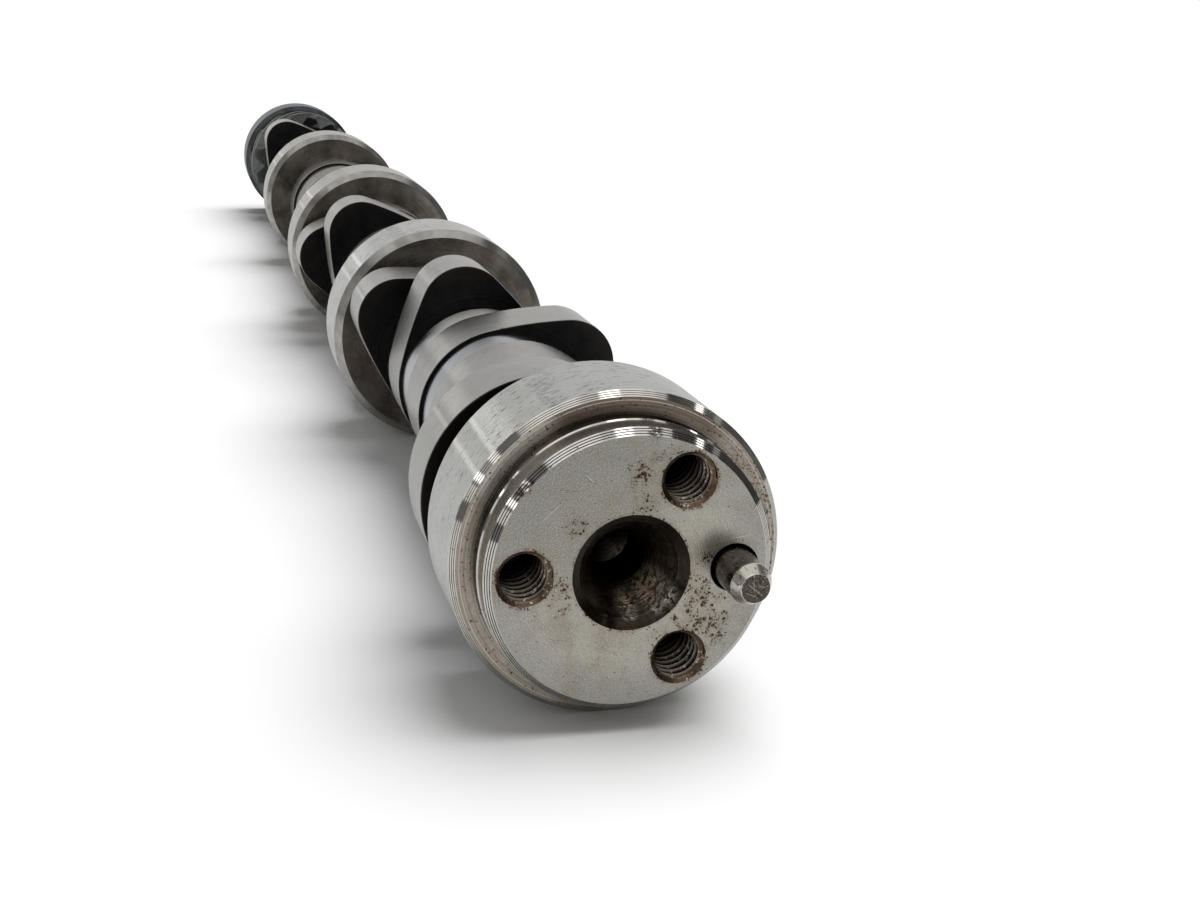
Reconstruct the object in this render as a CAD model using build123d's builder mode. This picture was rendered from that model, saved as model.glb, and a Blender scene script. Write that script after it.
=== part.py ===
from build123d import *
from math import acos, atan2, cos, degrees, pi, radians, sin, tan
import os

# Camshaft of a 90-degree pushrod V8 in millimetres. The cam axis is Y: the origin is the
# middle of the nose face, the shaft runs back along +Y, the dowel is on the +X side, Z is up.
# Angles are in degrees from +X towards +Z, as seen from in front of the nose.

os.makedirs("parts", exist_ok=True)

# Sprocket nose
hub_radius = 20.2
hub_length = 6.1
hub_chamfer = 0.98
undercut_width = 1.6
undercut_depth = 0.45
nose_centre_mouth_radius = 8.27
nose_centre_radius = 6.95
nose_centre_angle = 60
pilot_drill_radius = 3.85
pilot_drill_depth = 14.6

# Three tapped holes and a dowel turn the sprocket
bolt_count = 3
bolt_circle_radius = 14.77
bolt_start_angle = 60
tap_drill_radius = 3.3
bolt_mouth_radius = 4.0
bolt_depth = 19.0
drill_point_angle = 118
countersink_angle = 90
dowel_circle_radius = 14.65
dowel_radius = 3.0
dowel_shank_radius = 2.8
dowel_shoulder_height = 0.3
dowel_projection = 8.0
dowel_seat_depth = 11.0
dowel_taper_length = 1.8
dowel_tip_radius = 2.1
dowel_mouth_radius = 3.5

# Journals: the front one is also the thrust collar
journal_radius = 23.72
front_journal_width = 17.9
front_journal_chamfer = 0.84
journal_width = 19.5
journal_chamfer = 1.6
second_journal_front = 145.6
rear_journal_spacing = 133.9
rear_journal_width = 20.5
rear_centre_radius = 1.6
rear_centre_mouth_radius = 3.2
rear_centre_depth = 9.0
rear_centre_angle = 60
barrel_radius = 15.3

# Fuel pump eccentric, behind the front journal
eccentric_gap = 6.5
eccentric_width = 11.5
eccentric_radius = 19.0
eccentric_throw = 4.7
eccentric_angle = 168

# Block layout: the even bank's cylinders stand behind the odd bank's by the stagger
bore_pitch = 111.76
bank_stagger = 22.35
bank_angle = 90
first_cylinder = 87.6
valve_spacing = 46.35

# Valve timing, in degrees of cam turn
firing_order = (1, 8, 4, 3, 6, 5, 7, 2)
intake_timing = 57
lobe_separation = 110

# Lobe form: base circle, two wide flank arcs and a nose arc, each tangent to the next
base_circle_radius = 15.9
lobe_peak_radius = 23.45
lobe_nose_radius = 8.6
lobe_flank_radius = 80.0
lobe_width = 13.5

# Skew gear that drives the distributor and oil pump
gear_teeth = 13
gear_helix_angle = 45
gear_gap = 5.0
gear_width = 18.5
gear_pitch_radius = 20.0
gear_addendum = 2.2
gear_dedendum = 2.7
gear_tooth_flare = 1.45
gear_end_chamfer = 1.2

middle_journal_count = 3

# Places along the shaft that follow from the sizes
eccentric_front = hub_length + front_journal_width + eccentric_gap
last_middle_journal_front = second_journal_front + (middle_journal_count - 1) * bore_pitch
rear_journal_front = last_middle_journal_front + rear_journal_spacing
gear_front = rear_journal_front - gear_gap - gear_width
shaft_end = rear_journal_front + rear_journal_width


def plane_across(distance_back, angle=0):
    """Plane across the shaft that faces the nose, with its local +X at the angle"""
    across = (cos(radians(angle)), 0, sin(radians(angle)))
    return Plane(origin=(0, distance_back, 0), x_dir=across, z_dir=(0, -1, 0))


def journal_outline(front, width, front_chamfer, rear_chamfer):
    """Radius and distance back of one journal's corners, root to root"""
    rear = front + width
    return [
        (barrel_radius, front),
        (journal_radius - front_chamfer, front),
        (journal_radius, front + front_chamfer),
        (journal_radius, rear - rear_chamfer),
        (journal_radius - rear_chamfer, rear),
        (barrel_radius, rear),
    ]


def lobe_layout():
    """Middle along the shaft and nose angle of every lobe, two for each cylinder"""
    layout = []
    firing_step = 360 / len(firing_order)
    for turn, cylinder in enumerate(firing_order):
        pair = (cylinder - 1) // 2
        on_even_bank = cylinder % 2 == 0
        middle = first_cylinder + pair * bore_pitch + (bank_stagger if on_even_bank else 0)
        lifter_angle = 90 + (bank_angle / 2 if on_even_bank else -bank_angle / 2)
        # neighbouring cylinders of a bank have their intake valves side by side
        intake_side = valve_spacing / 2 * (1 if pair % 2 == 0 else -1)
        intake_angle = lifter_angle + turn * firing_step + intake_timing
        layout.append((middle + intake_side, intake_angle))
        layout.append((middle - intake_side, intake_angle - lobe_separation))
    return layout


# One lobe's outline, nose towards local +X
nose_offset = lobe_peak_radius - lobe_nose_radius
base_to_flank = lobe_flank_radius - base_circle_radius
nose_to_flank = lobe_flank_radius - lobe_nose_radius
flank_start = pi - acos(
    (base_to_flank**2 + nose_offset**2 - nose_to_flank**2) / (2 * base_to_flank * nose_offset)
)
flank_centre_x = -base_to_flank * cos(flank_start)
flank_centre_y = -base_to_flank * sin(flank_start)
flank_end = atan2(-flank_centre_y, nose_offset - flank_centre_x)
flank_points = [
    (
        flank_centre_x + lobe_flank_radius * cos(angle),
        flank_centre_y + lobe_flank_radius * sin(angle),
    )
    for angle in (flank_start, (flank_start + flank_end) / 2, flank_end)
]

with BuildSketch() as lobe_profile:
    with BuildLine():
        flank = ThreePointArc(*flank_points)
        mirrored_flank = mirror(flank, about=Plane.XZ)
        ThreePointArc(flank @ 1, (lobe_peak_radius, 0), mirrored_flank @ 1)
        ThreePointArc(flank @ 0, (-base_circle_radius, 0), mirrored_flank @ 0)
    make_face()

# One gear tooth in the plane across the shaft, pointing along local +X
tooth_half_angle = pi / 2 / gear_teeth
gear_root_radius = gear_pitch_radius - gear_dedendum
gear_tip_radius = gear_pitch_radius + gear_addendum
pitch_half_width = gear_pitch_radius * sin(tooth_half_angle)

with BuildSketch() as tooth_profile:
    with BuildLine():
        tooth_side = ThreePointArc(
            (gear_root_radius * cos(tooth_half_angle), pitch_half_width + gear_tooth_flare),
            (gear_pitch_radius * cos(tooth_half_angle), pitch_half_width),
            (gear_tip_radius, pitch_half_width - gear_tooth_flare),
        )
        other_side = mirror(tooth_side, about=Plane.XZ)
        Line(tooth_side @ 1, other_side @ 1)
        Line(tooth_side @ 0, other_side @ 0)
    make_face()

# The gear: a twisted ring of teeth, trimmed to a turned blank with bevelled ends
gear_twist = degrees(gear_width * tan(radians(gear_helix_angle)) / gear_pitch_radius)

with BuildSketch(plane_across(gear_front)) as tooth_ring:
    Circle(gear_root_radius)
    with PolarLocations(0, gear_teeth):
        add(tooth_profile.sketch)

with BuildPart() as distributor_gear:
    add(
        Solid.extrude_linear_with_rotation(
            tooth_ring.sketch.face(),
            center=(0, gear_front, 0),
            normal=(0, gear_width, 0),
            angle=gear_twist,
        )
    )
    with BuildSketch(Plane.XY):
        with BuildLine():
            Polyline(
                (0, gear_front),
                (gear_tip_radius - gear_end_chamfer, gear_front),
                (gear_tip_radius, gear_front + gear_end_chamfer),
                (gear_tip_radius, gear_front + gear_width - gear_end_chamfer),
                (gear_tip_radius - gear_end_chamfer, gear_front + gear_width),
                (0, gear_front + gear_width),
                close=True,
            )
        make_face()
    revolve(axis=Axis.Y, mode=Mode.INTERSECT)

with BuildPart() as camshaft:
    # Turned blank: hub with its grinding undercut, five journals and the barrel between them
    journal_corners = journal_outline(
        hub_length, front_journal_width, front_journal_chamfer, front_journal_chamfer
    )[1:]
    for place in range(middle_journal_count):
        front = second_journal_front + place * bore_pitch
        journal_corners += journal_outline(front, journal_width, journal_chamfer, journal_chamfer)
    journal_corners += journal_outline(
        rear_journal_front, rear_journal_width, journal_chamfer, journal_chamfer
    )[:-1]
    with BuildSketch(Plane.XY):
        with BuildLine():
            Polyline(
                (0, 0),
                (hub_radius - hub_chamfer, 0),
                (hub_radius, hub_chamfer),
                (hub_radius, hub_length - undercut_width),
                (hub_radius - undercut_depth, hub_length - undercut_width + undercut_depth),
                (hub_radius - undercut_depth, hub_length),
                *journal_corners,
                (0, shaft_end),
                close=True,
            )
        make_face()
    revolve(axis=Axis.Y)

    # Fuel pump eccentric
    with BuildSketch(plane_across(eccentric_front, eccentric_angle)):
        with Locations((eccentric_throw, 0)):
            Circle(eccentric_radius)
    extrude(amount=-eccentric_width)

    # Sixteen lobes
    for middle, nose_angle in lobe_layout():
        with BuildSketch(plane_across(middle - lobe_width / 2, nose_angle)):
            add(lobe_profile.sketch)
        extrude(amount=-lobe_width)

    add(distributor_gear.part)

    # Lathe centre in the nose: a bevelled mouth, the cone and its pilot drilling
    mouth_bevel = nose_centre_mouth_radius - nose_centre_radius
    cone_depth = (nose_centre_radius - pilot_drill_radius) / tan(radians(nose_centre_angle / 2))
    point_run = tan(radians(90 - drill_point_angle / 2))
    with BuildSketch(Plane.XY):
        with BuildLine():
            Polyline(
                (0, 0),
                (nose_centre_mouth_radius, 0),
                (nose_centre_radius, mouth_bevel),
                (pilot_drill_radius, mouth_bevel + cone_depth),
                (pilot_drill_radius, pilot_drill_depth),
                (0, pilot_drill_depth + pilot_drill_radius * point_run),
                close=True,
            )
        make_face()
    revolve(axis=Axis.Y, mode=Mode.SUBTRACT)

    # Tapped holes, left at the tapping drill's size, with their drill points
    with Locations(plane_across(0)):
        with PolarLocations(bolt_circle_radius, bolt_count, start_angle=bolt_start_angle):
            CounterSinkHole(tap_drill_radius, bolt_mouth_radius, bolt_depth, countersink_angle)
    with Locations(plane_across(bolt_depth)):
        with PolarLocations(bolt_circle_radius, bolt_count, start_angle=bolt_start_angle):
            Cone(
                0,
                tap_drill_radius,
                tap_drill_radius * point_run,
                align=(Align.CENTER, Align.CENTER, Align.MAX),
                mode=Mode.SUBTRACT,
            )

    # Dowel seat
    with Locations(plane_across(0)):
        with Locations((dowel_circle_radius, 0)):
            CounterSinkHole(
                dowel_shank_radius, dowel_mouth_radius, dowel_seat_depth, countersink_angle
            )

    # Lathe centre in the rear end
    with Locations(Plane(origin=(0, shaft_end, 0), z_dir=(0, 1, 0))):
        CounterSinkHole(
            rear_centre_radius, rear_centre_mouth_radius, rear_centre_depth, rear_centre_angle
        )

camshaft.part.label = "camshaft"
export_step(camshaft.part, "parts/camshaft.step")

# Dowel pin: a thinner shank is pressed into the nose, and the end that the sprocket slides on
# has a taper at its tip
dowel_side = dowel_circle_radius + dowel_radius
dowel_shank_side = dowel_circle_radius + dowel_shank_radius

with BuildPart() as dowel_pin:
    with BuildSketch(Plane.XY):
        with BuildLine():
            Polyline(
                (dowel_circle_radius, -dowel_projection),
                (dowel_circle_radius + dowel_tip_radius, -dowel_projection),
                (dowel_side, dowel_taper_length - dowel_projection),
                (dowel_side, -dowel_shoulder_height),
                (dowel_shank_side, dowel_radius - dowel_shank_radius - dowel_shoulder_height),
                (dowel_shank_side, dowel_seat_depth),
                (dowel_circle_radius, dowel_seat_depth),
                close=True,
            )
        make_face()
    revolve(axis=Axis((dowel_circle_radius, 0, 0), (0, 1, 0)))

dowel_pin.part.label = "dowel_pin"
export_step(dowel_pin.part, "parts/dowel_pin.step")
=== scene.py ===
from math import acos, atan2, cos, hypot, pi, radians, sin, tan

import bpy
from mathutils import Matrix, Vector


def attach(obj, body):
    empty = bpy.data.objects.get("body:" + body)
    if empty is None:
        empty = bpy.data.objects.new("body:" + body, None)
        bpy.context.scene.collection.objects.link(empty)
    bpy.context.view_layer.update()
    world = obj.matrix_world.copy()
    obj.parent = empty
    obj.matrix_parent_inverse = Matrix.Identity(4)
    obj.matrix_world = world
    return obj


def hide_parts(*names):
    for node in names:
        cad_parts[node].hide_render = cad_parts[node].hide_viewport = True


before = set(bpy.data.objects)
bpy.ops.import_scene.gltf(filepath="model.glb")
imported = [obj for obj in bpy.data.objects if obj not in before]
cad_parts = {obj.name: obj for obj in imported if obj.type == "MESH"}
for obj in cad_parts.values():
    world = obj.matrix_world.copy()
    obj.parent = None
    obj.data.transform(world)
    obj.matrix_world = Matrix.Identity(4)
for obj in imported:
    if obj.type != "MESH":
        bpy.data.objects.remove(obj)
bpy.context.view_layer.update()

# Sizes of the shaft in millimetres, along +Y from the nose face, Z up, dowel towards +X
hub_radius = 20.2
hub_length = 6.1
hub_bevel = 0.98
undercut_width = 1.6
undercut_depth = 0.45
hub_lip_height = 0.18
hub_lip_width = 0.2
nose_centre_mouth = 8.27
nose_centre_radius = 6.95
pilot_radius = 3.85
pilot_depth = 14.6
lathe_centre_angle = 60
drill_point_angle = 118

bolt_circle_radius = 14.77
bolt_angles = (60, 180, 300)
tap_drill_radius = 3.3
thread_root_radius = 3.9
thread_pitch = 1.411
thread_length = 15.0
thread_run_out = 0.3
bolt_mouth_radius = 4.0
bolt_depth = 19.0

dowel_place = (14.65, 0)
dowel_radius = 3.0
dowel_shank_radius = 2.8
dowel_shoulder = 0.3
dowel_projection = 8.0
dowel_seat_depth = 11.0
dowel_taper = 1.8
dowel_tip_radius = 2.1
dowel_mouth_radius = 3.5
dowel_edge = 0.12
dowel_end_gap = 0.05
shank_clearance = 0.005

journal_radius = 23.72
front_journal_width = 17.9
front_journal_bevel = 0.84
# Fine grooves between the flat lands of the two front bevels
bevel_lands = 4
groove_share = 0.35
hub_groove_depth = 0.06
journal_groove_depth = 0.052

journal_width = 19.5
journal_bevel = 1.6
middle_journal_fronts = (145.6, 257.36, 369.12)
rear_journal_front = 503.02
rear_journal_width = 20.5
shaft_end = rear_journal_front + rear_journal_width
rear_centre_radius = 1.6
rear_centre_mouth = 3.2
rear_centre_depth = 9.0
barrel_radius = 15.3

eccentric_front = 30.5
eccentric_width = 11.5
eccentric_radius = 19.0
eccentric_throw = 4.7
eccentric_angle = 168

base_circle_radius = 15.9
lobe_peak_radius = 23.45
lobe_nose_radius = 8.6
lobe_flank_radius = 80.0
lobe_width = 13.5
# Middle along the shaft and nose angle of every lobe, from the firing order
bore_pitch = 111.76
bank_stagger = 22.35
first_cylinder = 87.6
valve_spacing = 46.35
firing_order = (1, 8, 4, 3, 6, 5, 7, 2)
intake_timing = 57
lobe_separation = 110

gear_teeth = 13
gear_front = 479.52
gear_width = 18.5
gear_pitch_radius = 20.0
gear_root_radius = 17.3
gear_tip_radius = 22.2
gear_tooth_flare = 1.45
gear_end_bevel = 1.2

round_steps = 192
hole_steps = 64
dowel_steps = 96
flank_steps = 18
lobe_nose_steps = 40
base_circle_steps = 96
gear_slices = 14
helix_steps = 48
edge_softness = 0.25
# How far a cutting tool stands out of the face
cutter_rise = 1.0


def mm(length):
    return length * 0.001


# ---------- Modelling helpers ----------


def take(*pieces):
    """Deselects everything, then selects these pieces and makes the first one active"""
    bpy.ops.object.select_all(action="DESELECT")
    for piece in pieces:
        piece.select_set(True)
    bpy.context.view_layer.objects.active = pieces[0]


def edit(piece):
    """Starts to edit a piece, with all of it selected"""
    take(piece)
    bpy.ops.object.mode_set(mode="EDIT")
    bpy.ops.mesh.select_all(action="SELECT")


def leave_edit():
    bpy.ops.object.mode_set(mode="OBJECT")


def pull(x=0.0, y=0.0, z=0.0):
    """Extrudes what is selected by this many millimetres"""
    bpy.ops.mesh.extrude_region_move(TRANSFORM_OT_translate={"value": (mm(x), mm(y), mm(z))})


def settle(piece):
    """Puts a piece's place into its mesh"""
    take(piece)
    bpy.ops.object.transform_apply(location=True, rotation=True, scale=True)


def tidy_mesh(piece):
    """Merges doubles and turns all faces outwards"""
    edit(piece)
    bpy.ops.mesh.remove_doubles(threshold=mm(0.002))
    bpy.ops.mesh.normals_make_consistent(inside=False)
    leave_edit()


def close_rims(piece):
    """Fills every open rim of a piece"""
    edit(piece)
    bpy.ops.mesh.select_all(action="DESELECT")
    bpy.ops.mesh.select_mode(type="EDGE")
    bpy.ops.mesh.select_non_manifold(extend=False, use_wire=False, use_multi_face=False,
                                     use_non_contiguous=False, use_verts=False)
    bpy.ops.mesh.edge_face_add()
    bpy.ops.mesh.select_mode(type="VERT")
    leave_edit()


def turn(name, profile, steps=round_steps):
    """Turned piece about the Y axis: a ring pulled from corner to corner of its profile,
    each corner a place along the axis and a radius"""
    place, radius = profile[0]
    bpy.ops.object.select_all(action="DESELECT")
    bpy.ops.mesh.primitive_circle_add(
        vertices=steps, radius=mm(radius), location=(0, mm(place), 0), rotation=(pi / 2, 0, 0)
    )
    piece = bpy.context.object
    piece.name = name
    settle(piece)
    edit(piece)
    for next_place, next_radius in profile[1:]:
        pull(y=next_place - place)
        growth = next_radius / radius
        bpy.ops.transform.resize(
            value=(growth, 1, growth), center_override=(0, mm(next_place), 0)
        )
        place, radius = next_place, next_radius
    leave_edit()
    close_rims(piece)
    tidy_mesh(piece)
    return piece


def cut(piece, tool, operation="DIFFERENCE"):
    """Joins or cuts a piece with a tool piece, which is used up"""
    take(piece)
    change = piece.modifiers.new("cut", "BOOLEAN")
    change.object = tool
    change.operation = operation
    change.solver = "EXACT"
    bpy.ops.object.modifier_apply(modifier=change.name)
    bpy.data.objects.remove(tool)


def merge_pieces(pieces, name):
    take(*pieces)
    bpy.ops.object.join()
    pieces[0].name = name
    return pieces[0]


def copy_of(piece):
    take(piece)
    bpy.ops.object.duplicate(linked=False)
    return bpy.context.object


def place_at(piece, x=0.0, y=0.0, z=0.0, turn_about_shaft=0.0):
    """Turns a piece about the shaft's axis, moves it and puts that into its mesh"""
    piece.rotation_euler = (0, -radians(turn_about_shaft), 0)
    piece.location = (mm(x), mm(y), mm(z))
    settle(piece)


def draw_outline(name, corners):
    """Outline drawn from corner to corner and left open; each corner is x, y, z"""
    bpy.ops.object.select_all(action="DESELECT")
    bpy.ops.mesh.primitive_plane_add(size=mm(1), location=(0, 0, 0))
    piece = bpy.context.object
    piece.name = name
    edit(piece)
    bpy.ops.mesh.merge(type="CENTER")
    bpy.ops.transform.translate(value=[mm(part) for part in corners[0]])
    for (x, y, z), (next_x, next_y, next_z) in zip(corners, corners[1:]):
        pull(next_x - x, next_y - y, next_z - z)
    leave_edit()
    return piece


def soften_rims(piece, width=edge_softness):
    """Breaks the sharp edges between a piece's ends and its rim"""
    take(piece)
    rim = piece.modifiers.new("broken edge", "BEVEL")
    rim.limit_method = "ANGLE"
    rim.angle_limit = radians(60)
    rim.width = mm(width)
    rim.segments = 2
    bpy.ops.object.modifier_apply(modifier=rim.name)


def point_on(radius, angle):
    return radius * cos(radians(angle)), radius * sin(radians(angle))


bolt_places = [point_on(bolt_circle_radius, angle) for angle in bolt_angles]


def at_bolt_holes(pattern):
    """Copies of a pattern piece at the bolt holes; the pattern is used up"""
    copies = []
    for number, (x, z) in enumerate(bolt_places, start=1):
        piece = copy_of(pattern)
        piece.name = f"{pattern.name}_{number}"
        place_at(piece, x, 0, z)
        copies.append(piece)
    bpy.data.objects.remove(pattern)
    return copies


# ---------- The turned shaft ----------


def grooved(start, end, depth, lands=bevel_lands):
    """Corners of a bevel that a form tool has left with fine grooves between flat lands.
    The real grooves are finer than this; they are drawn coarser so that they can be seen"""
    (y0, r0), (y1, r1) = start, end
    length = hypot(y1 - y0, r1 - r0)
    inward_y, inward_r = (r1 - r0) / length * depth, -(y1 - y0) / length * depth
    pitch = 1 / (lands - groove_share)
    corners = [start]
    for groove in range(1, lands):
        for share, sunk in ((-groove_share, 0), (-groove_share / 2, 1), (0, 0)):
            along = (groove + share) * pitch
            corners.append(
                (
                    y0 + (y1 - y0) * along + inward_y * sunk,
                    r0 + (r1 - r0) * along + inward_r * sunk,
                )
            )
    return [*corners, end]


def journal_corners(front, width, front_bevel, rear_bevel):
    rear = front + width
    return [
        (front, barrel_radius),
        (front, journal_radius - front_bevel),
        (front + front_bevel, journal_radius),
        (rear - rear_bevel, journal_radius),
        (rear, journal_radius - rear_bevel),
        (rear, barrel_radius),
    ]


def drill_tip(depth, radius):
    """Corner that closes a drilled hole, just short of its point"""
    tip_share = 0.02
    return depth + radius * drill_point * (1 - tip_share), radius * tip_share


centre_slope = tan(radians(lathe_centre_angle / 2))
drill_point = tan(radians(90 - drill_point_angle / 2))
mouth_bevel = nose_centre_mouth - nose_centre_radius
cone_end = mouth_bevel + (nose_centre_radius - pilot_radius) / centre_slope
undercut_start = hub_length - undercut_width
lip_start = undercut_start - hub_lip_width
front_bevel_start = journal_radius - front_journal_bevel

shaft_profile = [
    drill_tip(pilot_depth, pilot_radius),
    (pilot_depth, pilot_radius),
    (cone_end, pilot_radius),
    (mouth_bevel, nose_centre_radius),
    (0, nose_centre_mouth),
    *grooved((0, hub_radius - hub_bevel), (hub_bevel, hub_radius), hub_groove_depth),
    (lip_start - hub_lip_height, hub_radius),
    (lip_start, hub_radius + hub_lip_height),
    (undercut_start, hub_radius + hub_lip_height),
    (undercut_start + undercut_depth, hub_radius - undercut_depth),
    (hub_length, hub_radius - undercut_depth),
    *grooved(
        (hub_length, front_bevel_start),
        (hub_length + front_journal_bevel, journal_radius),
        journal_groove_depth,
    ),
    *journal_corners(hub_length, front_journal_width, 0, front_journal_bevel)[3:],
]
for front in middle_journal_fronts:
    shaft_profile += journal_corners(front, journal_width, journal_bevel, journal_bevel)
shaft_profile += journal_corners(
    rear_journal_front, rear_journal_width, journal_bevel, journal_bevel
)[:-1]
shaft_profile += [
    (shaft_end, rear_centre_mouth),
    (shaft_end - (rear_centre_mouth - rear_centre_radius) / centre_slope, rear_centre_radius),
    (shaft_end - rear_centre_depth, rear_centre_radius),
]
shaft = turn("camshaft_steel", shaft_profile)

# ---------- Holes in the nose face ----------

bolt_hole = turn(
    "bolt_hole",
    [
        (-cutter_rise, bolt_mouth_radius + cutter_rise),
        (bolt_mouth_radius - thread_root_radius, thread_root_radius),
        (thread_length, thread_root_radius),
        (thread_length + thread_run_out, tap_drill_radius),
        (bolt_depth, tap_drill_radius),
        drill_tip(bolt_depth, tap_drill_radius),
    ],
    hole_steps,
)
dowel_seat = turn(
    "dowel_seat",
    [
        (-cutter_rise, dowel_mouth_radius + cutter_rise),
        (dowel_mouth_radius - dowel_shank_radius, dowel_shank_radius),
        (dowel_seat_depth, dowel_shank_radius),
    ],
    hole_steps,
)
place_at(dowel_seat, dowel_place[0], 0, dowel_place[1])
cut(shaft, merge_pieces([dowel_seat, *at_bolt_holes(bolt_hole)], "nose_holes"))

# ---------- Lobes, eccentric and skew gear ----------

nose_offset = lobe_peak_radius - lobe_nose_radius
base_to_flank = lobe_flank_radius - base_circle_radius
nose_to_flank = lobe_flank_radius - lobe_nose_radius
flank_start = pi - acos(
    (base_to_flank**2 + nose_offset**2 - nose_to_flank**2) / (2 * base_to_flank * nose_offset)
)
flank_centre = (-base_to_flank * cos(flank_start), -base_to_flank * sin(flank_start))
flank_end = atan2(-flank_centre[1], nose_offset - flank_centre[0])


def spin_arc(centre, angle, steps):
    """Carries the outline's last point round an arc centre, in the plane across the shaft"""
    bpy.ops.mesh.spin(
        steps=steps, angle=angle, center=(mm(centre[0]), 0, mm(centre[1])), axis=(0, -1, 0)
    )


def make_lobe():
    """One lobe, nose towards +X: base circle, two wide flanks and a nose arc, spun in turn"""
    start = (base_circle_radius * cos(flank_start), 0, base_circle_radius * sin(flank_start))
    lobe = draw_outline("lobe", [start])
    edit(lobe)
    spin_arc(flank_centre, flank_start - flank_end, flank_steps)
    spin_arc((nose_offset, 0), 2 * flank_end, lobe_nose_steps)
    spin_arc((flank_centre[0], -flank_centre[1]), flank_start - flank_end, flank_steps)
    spin_arc((0, 0), 2 * (pi - flank_start), base_circle_steps)
    bpy.ops.mesh.select_all(action="SELECT")
    bpy.ops.mesh.remove_doubles(threshold=mm(0.005))
    bpy.ops.mesh.edge_face_add()
    bpy.ops.transform.translate(value=(0, -mm(lobe_width / 2), 0))
    pull(y=lobe_width)
    leave_edit()
    tidy_mesh(lobe)
    soften_rims(lobe)
    return lobe


pattern_lobe = make_lobe()
raised = []
firing_step = 360 / len(firing_order)
for turn_number, cylinder in enumerate(firing_order):
    pair = (cylinder - 1) // 2
    even_bank = cylinder % 2 == 0
    middle = first_cylinder + pair * bore_pitch + (bank_stagger if even_bank else 0)
    intake_side = valve_spacing / 2 * (1 if pair % 2 == 0 else -1)
    intake_angle = (135 if even_bank else 45) + turn_number * firing_step + intake_timing
    for along, nose_angle in (
        (middle + intake_side, intake_angle),
        (middle - intake_side, intake_angle - lobe_separation),
    ):
        lobe = copy_of(pattern_lobe)
        place_at(lobe, y=along, turn_about_shaft=nose_angle)
        raised.append(lobe)
bpy.data.objects.remove(pattern_lobe)

eccentric = turn(
    "eccentric",
    [(eccentric_front, eccentric_radius), (eccentric_front + eccentric_width, eccentric_radius)],
)
soften_rims(eccentric)
x, z = point_on(eccentric_throw, eccentric_angle)
place_at(eccentric, x, 0, z)
raised.append(eccentric)


def make_gear():
    """Skew gear: one tooth's outline spun round, pulled back with a twist, its ends bevelled"""
    half_tooth = pi / 2 / gear_teeth
    pitch_half_width = gear_pitch_radius * sin(half_tooth)
    root_corner = (gear_root_radius * cos(half_tooth), pitch_half_width + gear_tooth_flare)
    pitch_corner = (gear_pitch_radius * cos(half_tooth), pitch_half_width)
    tip_corner = (gear_tip_radius, pitch_half_width - gear_tooth_flare)
    gap_corner = (gear_root_radius * cos(2 * half_tooth), gear_root_radius * sin(2 * half_tooth))
    side = [gap_corner, root_corner, pitch_corner, tip_corner]
    other_side = [(x, -z) for x, z in reversed(side)]
    gear = draw_outline("gear", [(x, 0, z) for x, z in side + other_side])
    edit(gear)
    bpy.ops.mesh.spin(
        steps=gear_teeth - 1,
        angle=2 * pi * (gear_teeth - 1) / gear_teeth,
        center=(0, 0, 0),
        axis=(0, 1, 0),
        dupli=True,
    )
    bpy.ops.mesh.select_all(action="SELECT")
    bpy.ops.mesh.remove_doubles(threshold=mm(0.02))
    bpy.ops.mesh.edge_face_add()
    bpy.ops.transform.translate(value=(0, mm(gear_front), 0))
    step = gear_width / gear_slices
    twist = gear_width / gear_pitch_radius / gear_slices
    for number in range(1, gear_slices + 1):
        pull(y=step)
        bpy.ops.transform.rotate(
            value=-twist,
            orient_axis="Y",
            orient_type="GLOBAL",
            center_override=(0, mm(gear_front + number * step), 0),
        )
    leave_edit()
    tidy_mesh(gear)
    blank = turn(
        "gear_blank",
        [
            (gear_front, gear_tip_radius - gear_end_bevel),
            (gear_front + gear_end_bevel, gear_tip_radius),
            (gear_front + gear_width - gear_end_bevel, gear_tip_radius),
            (gear_front + gear_width, gear_tip_radius - gear_end_bevel),
        ],
    )
    cut(gear, blank, "INTERSECT")
    return gear


raised.append(make_gear())
cut(shaft, merge_pieces(raised, "lobes"), "UNION")
tidy_mesh(shaft)

# ---------- Threads in the bolt holes ----------


def make_thread_ridge():
    """Thread ridge of one tapped hole: its section carried along a helix, then countersunk"""
    # A flat crest a quarter of the pitch wide, and flanks that leave an eighth at the root
    crest_half = thread_pitch / 8
    base_half = thread_pitch * 7 / 16
    wall_overlap = 0.05
    outer = thread_root_radius + wall_overlap
    section = [
        (outer, -base_half, 0),
        (tap_drill_radius, -crest_half, 0),
        (tap_drill_radius, crest_half, 0),
        (outer, base_half, 0),
    ]
    ridge = draw_outline("thread_turns", section)
    edit(ridge)
    bpy.ops.mesh.edge_face_add()
    bpy.ops.mesh.delete(type="ONLY_FACE")
    leave_edit()
    take(ridge)
    helix = ridge.modifiers.new("helix", "SCREW")
    helix.axis = "Y"
    helix.screw_offset = mm(thread_pitch)
    helix.iterations = int(thread_length / thread_pitch)
    helix.steps = helix_steps
    helix.render_steps = helix_steps
    helix.use_merge_vertices = False
    bpy.ops.object.modifier_apply(modifier=helix.name)
    close_rims(ridge)
    tidy_mesh(ridge)
    rim_overlap = 0.3
    countersink = turn(
        "countersink",
        [
            (-3 * cutter_rise, bolt_mouth_radius + 2 * cutter_rise),
            (-cutter_rise, bolt_mouth_radius + cutter_rise),
            (bolt_mouth_radius - tap_drill_radius + rim_overlap, tap_drill_radius - rim_overlap),
        ],
        hole_steps,
    )
    cut(ridge, countersink)
    return ridge


threads = at_bolt_holes(make_thread_ridge())

# ---------- Dowel pin ----------

taper_end = dowel_taper - dowel_projection
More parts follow.
